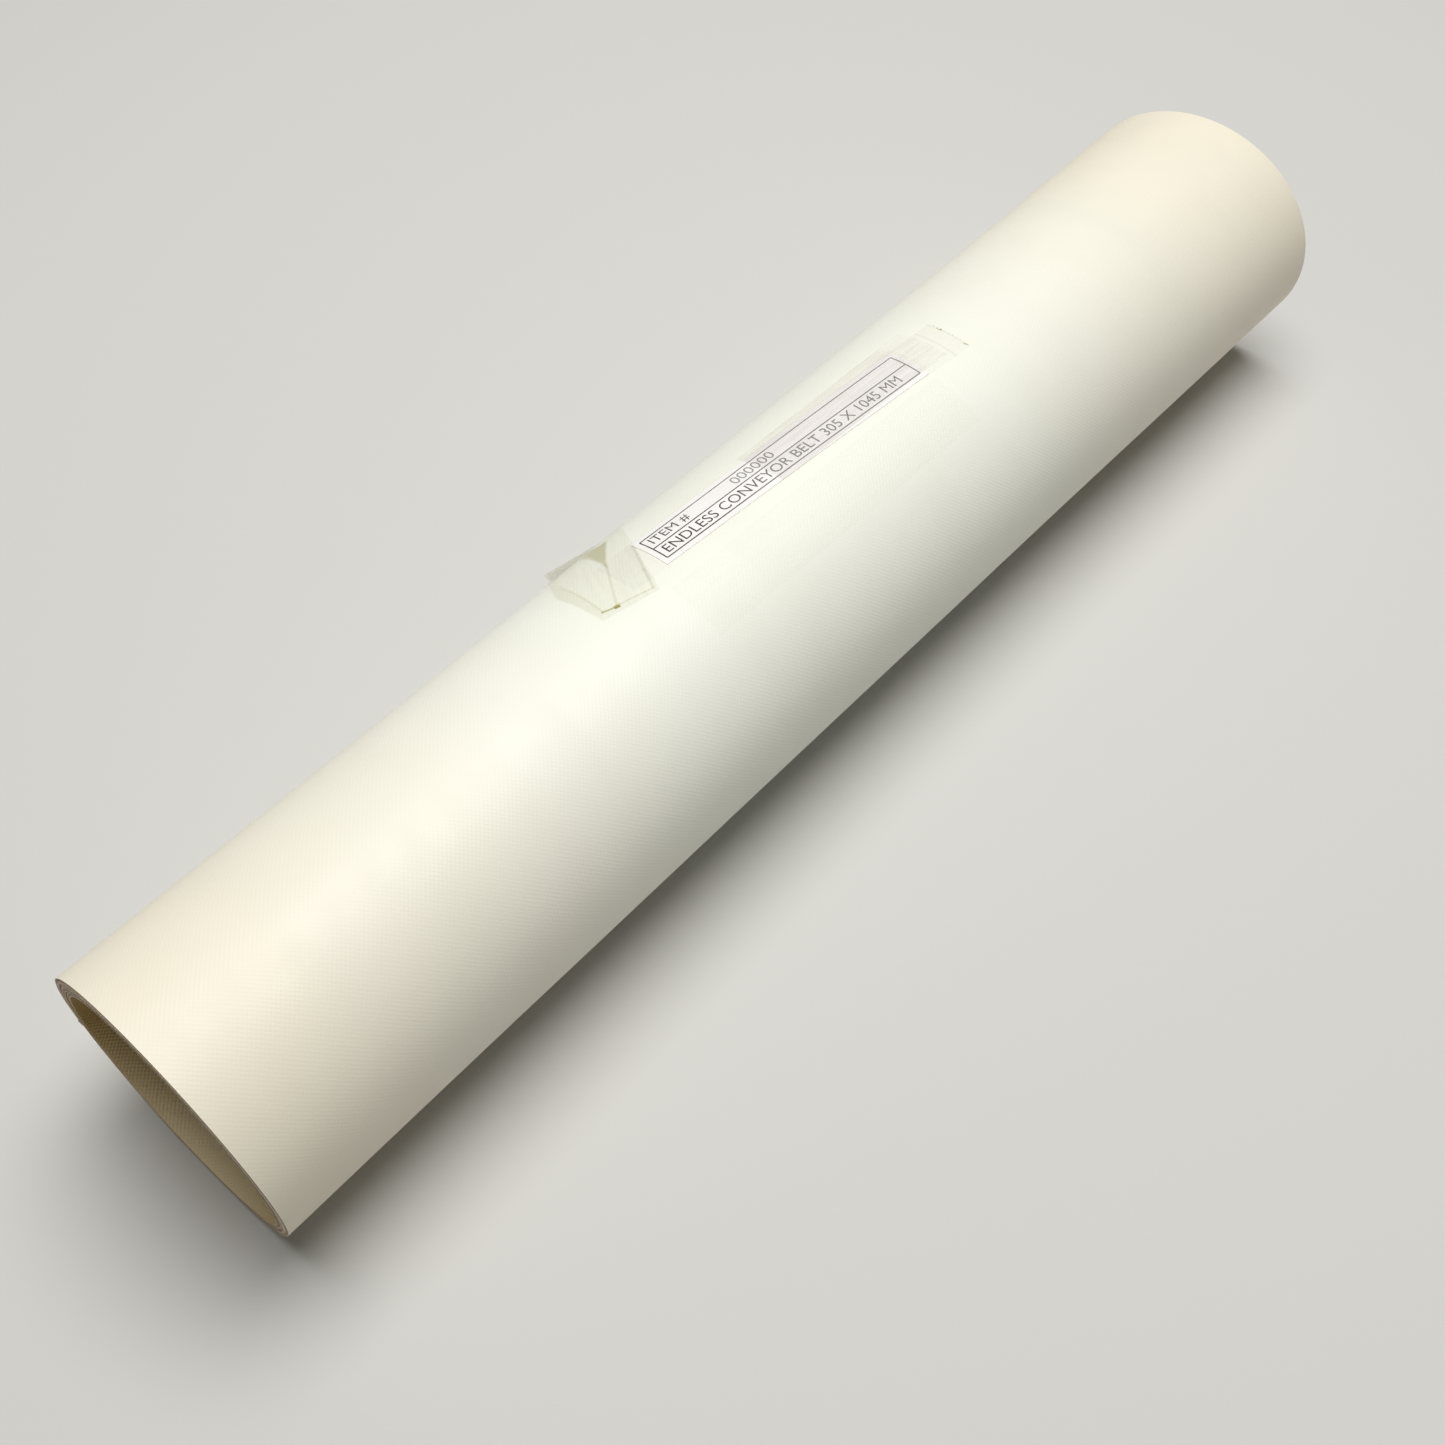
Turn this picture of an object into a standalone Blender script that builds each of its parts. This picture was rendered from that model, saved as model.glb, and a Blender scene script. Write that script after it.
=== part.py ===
"""A thin endless conveyor belt, pressed flat, rolled up for storage and taped shut, lying on a table.

The roll lies along X with its flat bottom strip on z = 0. Lengths are in metres. Angles go round
the roll from its top towards the back (+Y), and lengths "round" are measured the same way.
"""

import math
from collections import namedtuple

import bmesh
import bpy
import numpy as np
from mathutils import Vector

# The belt itself: 12 in wide, 41.125 in round the endless loop.
BELT_WIDTH = 0.3048
BELT_LENGTH = 1.044575
COVER_THICKNESS = 0.00017
PLY_THICKNESS = 0.00021
BOND_GAP = 0.00002
BELT_THICKNESS = COVER_THICKNESS + BOND_GAP + PLY_THICKNESS

# The pressed-flat loop is two strands, wound together. These are their spacings where it is tight.
STRAND_GAP = 0.00005
WRAP_GAP = 0.00005
STRAND_PITCH = BELT_THICKNESS + STRAND_GAP
WRAP_PITCH = STRAND_PITCH + BELT_THICKNESS + WRAP_GAP

# The roll is tight at its near end. Its turns are as many at the wider end, and lie looser there.
Winding = namedtuple("Winding", "outer_fold looseness")
TRIAL_LOOSENESS = 0.001

# The roll's outer section is an oval, at its near end, middle and far end.
SECTION_X = (-BELT_WIDTH / 2, 0.0, BELT_WIDTH / 2)
HALF_WIDTHS = (0.0274, 0.0284, 0.0302)
HALF_HEIGHTS = (0.0265, 0.0264, 0.02665)

# The winding. A flat side of the section is FACET wide, and one of them lies on the table.
FACET = math.radians(9)
FULL_TURNS = 3
INNER_FOLD = FACET / 2
OUTER_FOLD_RANGE = (math.radians(75), math.radians(125))
STEP_BEGIN = -math.pi - FACET / 2
STEP_CLEARANCE = math.radians(10)
LEAST_FACET = math.radians(2)

# Where the loop turns back on itself it can't be pressed quite flat.
FOLD_RADIUS = 0.0006
FOLD_FACETS = 8
FOLD_RAMP = math.radians(18)
INNER_SLACK = 0.00035
INNER_SLACK_ANGLE = math.radians(100)

# The paper slip and the clear tapes: middle along X, middle round the roll, length, width, turn.
PAPER_THICKNESS = 0.0001
TAPE_THICKNESS = 0.00006
LAYER_GAP = 0.00004
SHEET_CELL = 0.0015
SHEET_SPAN = 0.02
SLIP = (0.0040, 0.0054, 0.0719, 0.0103, math.radians(-3.7))
SLIP_TAPE = (0.0060, 0.0053, 0.0928, 0.0110, math.radians(-3.7))
UPPER_TAPE = (0.0223, 0.0059, 0.0490, 0.0125, math.radians(-1.8))
FRONT_TAPE = (0.0016, -0.0089, 0.0757, 0.0125, math.radians(-1.2))
FRONT_TAPE_HEIGHT = LAYER_GAP
SLIP_HEIGHT = LAYER_GAP
SLIP_TAPE_HEIGHT = SLIP_HEIGHT + PAPER_THICKNESS + LAYER_GAP
UPPER_TAPE_HEIGHT = SLIP_TAPE_HEIGHT + TAPE_THICKNESS + LAYER_GAP

# The closing tape leans across the roll and over the outer fold, and stands off the belt twice.
CLOSING_TAPE = (-0.0278, 0.0367, 0.0780, 0.0170, math.radians(62))
CLOSING_TAPE_HEIGHT = UPPER_TAPE_HEIGHT
CLOSING_TAPE_TENT = ((33, 0.0), (57, 0.0009), (78, 0.0))
FOLD_COVERAGE = ((-18, 0.0), (-5, 0.00095), (3, 0.00095))
CLOSING_TAPE_LANDS = math.radians(28)
CLOSING_TAPE_END = math.radians(170)

# Its first corners are folded in: where its right and left corners then are, along and across the
# tape from its middle, and the place along it from which it has its full width.
FOLDED_RIGHT = (-0.0373, -0.0089)
FOLDED_LEFT = (-0.0408, 0.0029)
FULL_WIDTH_FROM = -0.0300

# Colour, roughness and alpha of each material.
FINISHES = {
    "belt_cover": ((0.90, 0.88, 0.79), 0.42, 1.0),
    "belt_fabric": ((0.80, 0.77, 0.68), 0.85, 1.0),
    "slip_paper": ((0.86, 0.85, 0.85), 0.60, 1.0),
    "clear_tape": ((0.87, 0.86, 0.74), 0.18, 0.35),
}


def clear_scene():
    for old in list(bpy.data.objects):
        bpy.data.objects.remove(old, do_unlink=True)


def make_material(name):
    colour, roughness, alpha = FINISHES[name]
    material = bpy.data.materials.new(name)
    material.use_nodes = True
    shader = material.node_tree.nodes["Principled BSDF"]
    shader.inputs["Base Color"].default_value = (*colour, 1.0)
    shader.inputs["Roughness"].default_value = roughness
    shader.inputs["Metallic"].default_value = 0.0
    shader.inputs["Alpha"].default_value = alpha
    return material


def ease(part):
    """A smooth step from 0 to 1."""
    part = min(max(part, 0.0), 1.0)
    return (1 - math.cos(math.pi * part)) / 2


def on_section(x, angle, depth):
    """A point of the roll's section, that far below the outer oval, and the outward direction there."""
    wide = float(np.interp(x, SECTION_X, HALF_WIDTHS))
    high = float(np.interp(x, SECTION_X, HALF_HEIGHTS))
    outward = Vector((high * math.sin(angle), wide * math.cos(angle))).normalized()
    centre = Vector((0.0, high * math.cos(FACET / 2)))
    oval = Vector((wide * math.sin(angle), high * math.cos(angle)))
    return centre + oval - outward * depth, outward


def pitches(winding, x):
    """The spacing of the two strands and of the turns, at a place along the roll."""
    loose = float(np.interp(x, SECTION_X, winding.looseness))
    return STRAND_PITCH + loose / 2, WRAP_PITCH + loose


def winding_depth(winding, x, angle):
    """How deep the outer strand lies at an angle that keeps falling as the belt winds inwards."""
    _, wrap_pitch = pitches(winding, x)
    turns, rest = divmod(winding.outer_fold - angle, 2 * math.pi)
    begin = winding.outer_fold - STEP_BEGIN
    end = 2 * math.pi - STEP_CLEARANCE
    return wrap_pitch * (turns + ease((rest - begin) / (end - begin)))


def winding_angles(outer_fold):
    """The corners of the winding, from the outer fold to the inner one."""
    last = INNER_FOLD - FULL_TURNS * 2 * math.pi
    count = math.floor((outer_fold - LEAST_FACET - last) / FACET)
    return [outer_fold] + [last + FACET * i for i in range(count, -1, -1)]


def strands(winding, x):
    """The angle and depth of each corner of the two strands in the section at x."""
    angles = winding_angles(winding.outer_fold)
    strand_pitch, _ = pitches(winding, x)
    rise = 2 * FOLD_RADIUS - strand_pitch
    outer, inner = [], []
    for angle in angles:
        slack = INNER_SLACK * ease(1 - (angle - angles[-1]) / INNER_SLACK_ANGLE)
        depth = winding_depth(winding, x, angle) + BELT_THICKNESS / 2 + slack
        outer_rise = rise * ease(1 - (winding.outer_fold - angle) / FOLD_RAMP)
        inner_rise = rise * ease(1 - (angle - angles[-1]) / FOLD_RAMP)
        outer.append((angle, depth - outer_rise))
        inner.append((angle, depth + strand_pitch + inner_rise))
    return outer, inner


def fold(x, angle, depth, side):
    """The half circle of a fold, starting from the strand that stays in the winding."""
    foot, outward = on_section(x, angle, depth)
    along = Vector((outward.y, -outward.x)) * side
    corners = []
    for i in range(1, FOLD_FACETS):
        turn = math.pi * i / FOLD_FACETS
        step = along * math.sin(turn) + outward * side * (1 - math.cos(turn))
        corners.append(foot + step * FOLD_RADIUS)
    return corners


def belt_path(winding, x):
    """The closed line of the belt's middle in the section at x."""
    outer, inner = strands(winding, x)
    path = [on_section(x, *corner)[0] for corner in outer]
    path += fold(x, *outer[-1], -1)
    path += [on_section(x, *corner)[0] for corner in reversed(inner)]
    path += fold(x, *inner[0], 1)
    return path


def path_length(outer_fold, loose, x):
    path = belt_path(Winding(outer_fold, [loose] * len(SECTION_X)), x)
    return sum((path[i] - path[i - 1]).length for i in range(len(path)))


def wind_belt():
    """The winding that gives every section of the loop the belt's real length."""
    low, high = OUTER_FOLD_RANGE
    for _ in range(40):
        middle = (low + high) / 2
        if path_length(middle, 0.0, SECTION_X[0]) < BELT_LENGTH:
            low = middle
        else:
            high = middle
    looseness = []
    for x in SECTION_X:
        tight = path_length(low, 0.0, x)
        trial = path_length(low, TRIAL_LOOSENESS, x)
        looseness.append(TRIAL_LOOSENESS * (tight - BELT_LENGTH) / (tight - trial))
    return Winding(low, looseness)


def offset_path(path, distance):
    """The line that far outside the closed path, side by side with it."""
    moved = []
    for i, corner in enumerate(path):
        before = (corner - path[i - 1]).normalized()
        after = (path[(i + 1) % len(path)] - corner).normalized()
        along = (before + after).normalized()
        outward = Vector((along.y, -along.x))
        moved.append(corner + outward * distance / along.dot(after))
    return moved


def finish(name, mesh, material, thickness, offset, collection, parent):
    """An object for the sheet, made solid."""
    for polygon in mesh.polygons:
        polygon.use_smooth = True
    mesh.materials.append(bpy.data.materials[material])
    piece = bpy.data.objects.new(name, mesh)
    solid = piece.modifiers.new("Solidify", "SOLIDIFY")
    solid.thickness = thickness
    solid.offset = offset
    solid.use_even_offset = True
    collection.objects.link(piece)
    piece.parent = parent
    return piece


def build_belt_layer(name, material, outside, thickness, winding, collection, parent):
    """One layer of the belt: a loft between the wound sections, made solid towards the inside."""
    bm = bmesh.new()
    rings = []
    for x in SECTION_X:
        path = offset_path(belt_path(winding, x), outside)
        rings.append([bm.verts.new((x, y, z)) for y, z in path])
    for ring, following in zip(rings, rings[1:]):
        for i in range(len(ring)):
            bm.faces.new((ring[i - 1], ring[i], following[i], following[i - 1]))
    mesh = bpy.data.meshes.new(name)
    bm.to_mesh(mesh)
    bm.free()
    return finish(name, mesh, material, thickness, -1, collection, parent)


def angle_round(x, length):
    """The angle at a length round the outer oval, from its top."""
    angles = np.linspace(-math.pi, math.pi, 721)
    wide = np.interp(x, SECTION_X, HALF_WIDTHS)
    high = np.interp(x, SECTION_X, HALF_HEIGHTS)
    speed = np.hypot(wide * np.cos(angles), high * np.sin(angles))
    lengths = np.cumsum(speed) * (angles[1] - angles[0])
    return float(np.interp(length, lengths - lengths[len(angles) // 2], angles))


def fold_in(along, across, length, width):
    """Moves a point of the closing tape to its place in the narrower start, if it lies there."""
    opened = (along + length / 2) / (FULL_WIDTH_FROM + length / 2)
    if opened >= 1:
        return along, across
    share = across / width + 0.5
    end_along = FOLDED_RIGHT[0] + (FOLDED_LEFT[0] - FOLDED_RIGHT[0]) * share
    end_across = FOLDED_RIGHT[1] + (FOLDED_LEFT[1] - FOLDED_RIGHT[1]) * share
    return end_along + (FULL_WIDTH_FROM - end_along) * opened, end_across + (across - end_across) * opened


def build_stuck_sheet(name, material, place, heights, thickness, collection, parent):
    """A flat sheet laid on the roll, turned a little, and made solid outwards.

    Its heights above the outer oval are given at a few angles round the roll.
    """
    middle_x, middle_round, length, width, turn = place
    columns = max(length / SHEET_SPAN, abs(length * math.sin(turn)) / SHEET_CELL)
    rows = max(width / SHEET_SPAN, abs(width * math.cos(turn)) / SHEET_CELL)
    bm = bmesh.new()
    bmesh.ops.create_grid(bm, x_segments=math.ceil(columns), y_segments=math.ceil(rows), size=0.5)
    for vert in bm.verts:
        along = vert.co.x * length
        across = vert.co.y * width
        if place == CLOSING_TAPE:
            along, across = fold_in(along, across, length, width)
        x = middle_x + along * math.cos(turn) - across * math.sin(turn)
        angle = angle_round(x, middle_round + along * math.sin(turn) + across * math.cos(turn))
        point, _ = on_section(x, angle, -np.interp(angle, *zip(*heights)))
        vert.co = (x, point.x, point.y)
    mesh = bpy.data.meshes.new(name)
    bm.to_mesh(mesh)
    bm.free()
    return finish(name, mesh, material, thickness, 1, collection, parent)


def closing_tape_heights(winding):
    """The closing tape's height above the outer oval, at a few angles round the roll."""
    heights = []
    for degrees, height in CLOSING_TAPE_TENT:
        heights.append((math.radians(degrees), CLOSING_TAPE_HEIGHT + height))
    for degrees, height in FOLD_COVERAGE:
        heights.append((winding.outer_fold + math.radians(degrees), CLOSING_TAPE_HEIGHT + height))
    lands = winding.outer_fold + CLOSING_TAPE_LANDS
    for angle in np.arange(lands, CLOSING_TAPE_END, FACET / 2):
        depth = winding_depth(winding, CLOSING_TAPE[0], angle - 2 * math.pi)
        heights.append((angle, CLOSING_TAPE_HEIGHT - depth))
    return heights


def stand_on_origin(pieces, parent):
    """Moves the roll so that its box is centred on the origin and stands on z = 0."""
    bpy.context.view_layer.update()
    depsgraph = bpy.context.evaluated_depsgraph_get()
    corners = []
    for piece in pieces:
        shown = piece.evaluated_get(depsgraph)
        corners += [shown.matrix_world @ Vector(corner) for corner in shown.bound_box]
    low = [min(corner[axis] for corner in corners) for axis in range(3)]
    high = [max(corner[axis] for corner in corners) for axis in range(3)]
    parent.location = (-(low[0] + high[0]) / 2, -(low[1] + high[1]) / 2, -low[2])
    bpy.context.view_layer.update()


def main():
    clear_scene()
    for name in FINISHES:
        make_material(name)
    collection = bpy.data.collections.new("rolled_conveyor_belt")
    bpy.context.scene.collection.children.link(collection)
    parent = bpy.data.objects.new("roll_place", None)
    collection.objects.link(parent)

    winding = wind_belt()
    half = BELT_THICKNESS / 2
    under_cover = half - COVER_THICKNESS - BOND_GAP
    pieces = [
        build_belt_layer("belt_cover", "belt_cover", half, COVER_THICKNESS,
                         winding, collection, parent),
        build_belt_layer("belt_fabric_ply", "belt_fabric", under_cover, PLY_THICKNESS,
                         winding, collection, parent),
        build_stuck_sheet("paper_slip", "slip_paper", SLIP, [(0, SLIP_HEIGHT)],
                          PAPER_THICKNESS, collection, parent),
    ]
    tapes = {
        "slip_tape": (SLIP_TAPE, [(0, SLIP_TAPE_HEIGHT)]),
        "upper_tape": (UPPER_TAPE, [(0, UPPER_TAPE_HEIGHT)]),
        "front_tape": (FRONT_TAPE, [(0, FRONT_TAPE_HEIGHT)]),
        "closing_tape": (CLOSING_TAPE, closing_tape_heights(winding)),
    }
    for name, (place, heights) in tapes.items():
        pieces.append(build_stuck_sheet(name, "clear_tape", place, heights, TAPE_THICKNESS,
                                        collection, parent))
    stand_on_origin(pieces, parent)


main()
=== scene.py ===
"""The looks of the rolled conveyor belt: the wound belt, the printed slip and the clear tapes.

Lengths are in metres, except on the flat belt, slip and tapes, where materials measure in
millimetres. Angles go round the roll from its top towards the back (+Y), and lengths "round" are
measured the same way along the roll's outside.
"""

import math

import bmesh
import bpy
import numpy as np
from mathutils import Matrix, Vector


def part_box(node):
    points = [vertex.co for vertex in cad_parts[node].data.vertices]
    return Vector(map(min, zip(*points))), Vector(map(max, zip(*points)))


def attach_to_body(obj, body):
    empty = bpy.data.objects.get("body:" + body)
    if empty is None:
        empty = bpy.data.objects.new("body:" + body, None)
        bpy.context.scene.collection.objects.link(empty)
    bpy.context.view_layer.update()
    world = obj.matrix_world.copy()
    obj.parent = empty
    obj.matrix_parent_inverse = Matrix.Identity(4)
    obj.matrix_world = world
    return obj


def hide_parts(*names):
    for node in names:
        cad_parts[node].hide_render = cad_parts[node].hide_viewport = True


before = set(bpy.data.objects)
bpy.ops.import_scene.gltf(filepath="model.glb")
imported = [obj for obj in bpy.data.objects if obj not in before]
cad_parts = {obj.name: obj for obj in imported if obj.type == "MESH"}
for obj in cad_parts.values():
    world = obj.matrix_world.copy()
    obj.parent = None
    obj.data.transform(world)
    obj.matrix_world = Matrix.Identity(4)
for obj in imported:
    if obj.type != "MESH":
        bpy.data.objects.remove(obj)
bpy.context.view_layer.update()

MM_PER_METRE = 1000

# The belt, as the CAD has it.
BELT_LENGTH = 1.044575
COVER_THICKNESS = 0.00017
PLY_THICKNESS = 0.00021
BOND_GAP = 0.00002
BELT_THICKNESS = COVER_THICKNESS + BOND_GAP + PLY_THICKNESS
STRAND_GAP = 0.00005
WRAP_GAP = 0.00005
STRAND_PITCH = BELT_THICKNESS + STRAND_GAP
WRAP_PITCH = STRAND_PITCH + BELT_THICKNESS + WRAP_GAP
HALF_BELT = BELT_THICKNESS / 2

# The roll's place and length come from the frame. Its oval section comes from the CAD's three
# stations, as half its width and half its height.
BELT_LOW, BELT_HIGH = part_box("belt_cover")
HALF_LENGTH = BELT_HIGH.x
NEAR_WIDE, MIDDLE_WIDE, FAR_WIDE = 0.0274, 0.0284, 0.0302
NEAR_HIGH, MIDDLE_HIGH, FAR_HIGH = 0.0265, 0.0264, 0.02665
AXIS_Y = BELT_LOW.y + FAR_WIDE

# The soft dents in it: height, radians for each metre along, waves round it, and phase.
DENTS = ((0.00008, 37, 2, 0.0), (0.00006, 71, -3, 1.0))
ANGLE_ROUNDS = 8

# The winding, from the outer fold inwards. The CAD has a flat side every FACET. The winding gets
# looser towards the wider end.
FULL_TURNS = 3
FACET = math.radians(9)
OUTER_FOLD = math.radians(101.296)
INNER_FOLD = FACET / 2
WINDING = OUTER_FOLD - INNER_FOLD + FULL_TURNS * 2 * math.pi
NEAR_LOOSE, MIDDLE_LOOSE, FAR_LOOSE = 0.0, 0.000294, 0.000969
STEP_BEGIN = OUTER_FOLD + math.pi + FACET / 2
STEP_CLEARANCE = math.radians(10)
STEP_END = 2 * math.pi - STEP_CLEARANCE
FOLD_RADIUS = 0.0006
FOLD_RAMP = math.radians(18)
INNER_SLACK = 0.00035
INNER_SLACK_ANGLE = math.radians(100)
WINDING_STEPS = 384
FOLD_STEPS = 12
LENGTH_STEPS = 30
RIM_ANGLE = math.radians(50)

# How the belt's edges wander inwards at the roll's ends: depth, length along the belt, and how many
# times the end's own phase each wave is shifted by.
EDGE_WAVES = ((0.00011, 0.41, 1.0), (0.00005, 0.173, 2.1))
NEAR_PHASE, FAR_PHASE = 0.6, 2.9

# Slip and tapes: middle along X, middle round the roll, length, width, turn.
SLIP = (0.0040, 0.0054, 0.0719, 0.0103, math.radians(-3.7))
SLIP_TAPE = (0.0060, 0.0053, 0.0928, 0.0110, math.radians(-3.7))
UPPER_TAPE = (0.0223, 0.0059, 0.0490, 0.0125, math.radians(-1.8))
FRONT_TAPE = (0.0016, -0.0089, 0.0757, 0.0125, math.radians(-1.2))
CLOSING_TAPE = (-0.0278, 0.0367, 0.0780, 0.0170, math.radians(62))
PAPER_THICKNESS = 0.00009
TAPE_THICKNESS = 0.00005
CLEARANCE = 0.00002
SHEET_CELL = 0.0005

# How far outside the edge of the slip, and of a tape, a tape laid over it comes down to the belt, and
# how deep the teeth of the slip tape's torn end are.
PAPER_SLOPE = 0.0011
FILM_SLOPE = 0.0006
TEETH = 0.0004

# The closing tape's first corners are folded in: where its right and left corners then are, along
# and across it from its middle, and the place along it from which it has its full width.
FOLDED_RIGHT = (-0.0373, -0.0089)
FOLDED_LEFT = (-0.0408, 0.0029)
FULL_WIDTH_FROM = -0.0300

# It stands off the belt beside the slip, more so towards its left edge, and again over the outer
# fold, and then lies on the turn below.
TENT_ANGLES = np.radians([24, 57, 80])
TENT_RISE = 0.0018
TENT_FROM = -0.0030
TENT_REACH = 0.0115
OVER_FOLD_ANGLES = np.radians([-18, -5, 3, 28])
OVER_FOLD_RISE = 0.00095

# Places on the closing tape in millimetres from its middle, along and across: its creases, which also
# get painted shade, the pleat folded double at its top, which also gets a painted shadow, a slightly
# darker band at its left, the part that stands off the belt, its hem, and a dark speck on the hem.
CREASES = [
    ((-26.4, -2.2), (-38.6, -0.5)),
    ((-23.8, -8.2), (-31.5, -7.9)),
    ((-31.5, -7.9), (-36.3, -7.9)),
    ((-26.4, -2.2), (-14.0, -4.8)),
    ((-26.4, -2.2), (-14.0, 1.2)),
    ((-38.6, 2.2), (-26.0, 7.1)),
]
DOUBLED_PLEAT_WITH_SHADOW = [(-26.4, -2.2), (-14.0, -4.8), (-14.0, 1.2)]
MARGIN = [(-40.8, 2.7), (-38.6, 2.2), (-24.0, 7.9), (-24.0, 8.9), (-30.2, 8.6)]
STANDING_OFF = [(-22, 10), (-12, -4), (2, -4), (2, 10)]
HEM = ((-38.8, 2.3), (-36.5, -8.0))
SPECK = (-38.5, -0.3)
CREASE_HEIGHT = 0.00016
CREASE_WIDTH = 0.9

# The same on the slip tape: the line of dark dots at its torn end, a press line before it, and
# its clearer left end. And on the upper tape: its clearer right end.
TORN_END_LINE = ((46.1, -5.5), (46.1, 5.5))
PRESS_LINE = ((42.0, -5.5), (42.0, 5.5))
CLEAR_LEFT_END = [(-50, -7), (-39, -7), (-39, 7), (-50, 7)]
CLEAR_RIGHT_END = [(17, -8), (27, -8), (27, 8), (17, 8)]

# The ply's threads, in millimetres from one to the next but one.
WEAVE_PITCH = 0.9


def ease(part):
    """A smooth step from 0 to 1."""
    return (1 - np.cos(np.pi * np.clip(part, 0, 1))) / 2


def through(near, middle, far, x):
    """The parabola through three values, at the roll's near end, middle and far end."""
    t = x / HALF_LENGTH
    return middle + (far - near) / 2 * t + ((near + far) / 2 - middle) * t * t


def dents(x, angle):
    """The roll's soft unevenness, which fades towards the flat strip that it lies on."""
    waves = 0
    for height, along, turns, phase in DENTS:
        waves = waves + height * np.sin(along * x + turns * angle + phase)
    return waves * (1 + np.cos(angle)) / 2


def on_roll(x, angle, height):
    """Points above the outer oval by that height, with the outward direction as y and z."""
    wide = through(NEAR_WIDE, MIDDLE_WIDE, FAR_WIDE, x)
    high = through(NEAR_HIGH, MIDDLE_HIGH, FAR_HIGH, x)
    out_y, out_z = high * np.sin(angle), wide * np.cos(angle)
    size = np.hypot(out_y, out_z)
    out_y, out_z = out_y / size, out_z / size
    height = height + dents(x, angle)
    y = AXIS_Y + wide * np.sin(angle) + out_y * height
    z = high + high * np.cos(angle) + out_z * height
    return y, z, out_y, out_z


def angle_at(x, around):
    """The angle at a length round the oval from its top."""
    wide = through(NEAR_WIDE, MIDDLE_WIDE, FAR_WIDE, x)
    high = through(NEAR_HIGH, MIDDLE_HIGH, FAR_HIGH, x)
    mean, spread = (wide + high) / 2, (wide - high) / 2
    angle = around / mean
    for _ in range(ANGLE_ROUNDS):
        angle = (around - spread / 2 * np.sin(2 * angle)) / mean
    return angle


# --- materials -------------------------------------------------------------------------------


def new_material(name, colour, roughness, alpha=1.0):
    material = bpy.data.materials.new(name)
    material.use_nodes = True
    shader = material.node_tree.nodes["Principled BSDF"]
    shader.inputs["Base Color"].default_value = (*colour, 1.0)
    shader.inputs["Roughness"].default_value = roughness
    shader.inputs["Alpha"].default_value = alpha
    return material, material.node_tree, shader


def add_node(tree, kind, **settings):
    node = tree.nodes.new(kind)
    for key, value in settings.items():
        setattr(node, key, value)
    return node


def noise(tree, source, scale, detail=2.0, roughness=0.5):
    node = add_node(tree, "ShaderNodeTexNoise")
    node.inputs["Scale"].default_value = scale
    node.inputs["Detail"].default_value = detail
    node.inputs["Roughness"].default_value = roughness
    tree.links.new(source, node.inputs["Vector"])
    return node.outputs["Fac"]


def stretched(tree, source, scale):
    node = add_node(tree, "ShaderNodeMapping")
    node.inputs["Scale"].default_value = scale
    tree.links.new(source, node.inputs["Vector"])
    return node.outputs["Vector"]


def maths(tree, operation, first, second=None):
    node = add_node(tree, "ShaderNodeMath", operation=operation)
    for socket, value in zip(node.inputs, (first, second)):
        if isinstance(value, bpy.types.NodeSocket):
            tree.links.new(value, socket)
        elif value is not None:
            socket.default_value = value
    return node.outputs["Value"]


def vector_maths(tree, operation, first, second):
    node = add_node(tree, "ShaderNodeVectorMath", operation=operation)
    tree.links.new(first, node.inputs[0])
    node.inputs[1].default_value = second
    return node.outputs["Value" if operation == "DOT_PRODUCT" else "Vector"]


def ramp(tree, factor, low, high, first, last):
    """A colour or grey that goes from first to last as factor goes from low to high."""
    node = add_node(tree, "ShaderNodeValToRGB")
    begin, end = node.color_ramp.elements
    begin.position, end.position = low, high
    begin.color = (*first, 1.0)
    end.color = (*last, 1.0)
    tree.links.new(factor, node.inputs["Fac"])
    return node.outputs["Color"]


def mix_colour(tree, factor, first, second, blend="MIX"):
    node = add_node(tree, "ShaderNodeMix", data_type="RGBA", blend_type=blend)
    for socket, value in zip((node.inputs[0], node.inputs[6], node.inputs[7]), (factor, first, second)):
        if isinstance(value, bpy.types.NodeSocket):
            tree.links.new(value, socket)
        elif isinstance(value, tuple):
            socket.default_value = (*value, 1.0)
        else:
            socket.default_value = value
    return node.outputs[2]


def bump(tree, shader, height, distance, strength=1.0):
    node = add_node(tree, "ShaderNodeBump")
    node.inputs["Distance"].default_value = distance
    node.inputs["Strength"].default_value = strength
    tree.links.new(height, node.inputs["Height"])
    tree.links.new(node.outputs["Normal"], shader.inputs["Normal"])


def flat_place(tree):
    """The place in millimetres: across and along the flat belt, or along and across a slip or tape."""
    return add_node(tree, "ShaderNodeUVMap", uv_map="flat_mm").outputs["UV"]


def weave(tree, place):
    """The over and under of a plain weave, from -1 to 1."""
    waves = []
    for axis in ("X", "Y"):
        turns = maths(tree, "MULTIPLY", split(tree, place, axis), 2 * math.pi / WEAVE_PITCH)
        waves.append(maths(tree, "SINE", turns))
    return maths(tree, "MULTIPLY", waves[0], waves[1])


def split(tree, vector, axis):
    node = add_node(tree, "ShaderNodeSeparateXYZ")
    tree.links.new(vector, node.inputs["Vector"])
    return node.outputs[axis]


def grey(value):
    return (value, value, value)


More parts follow.
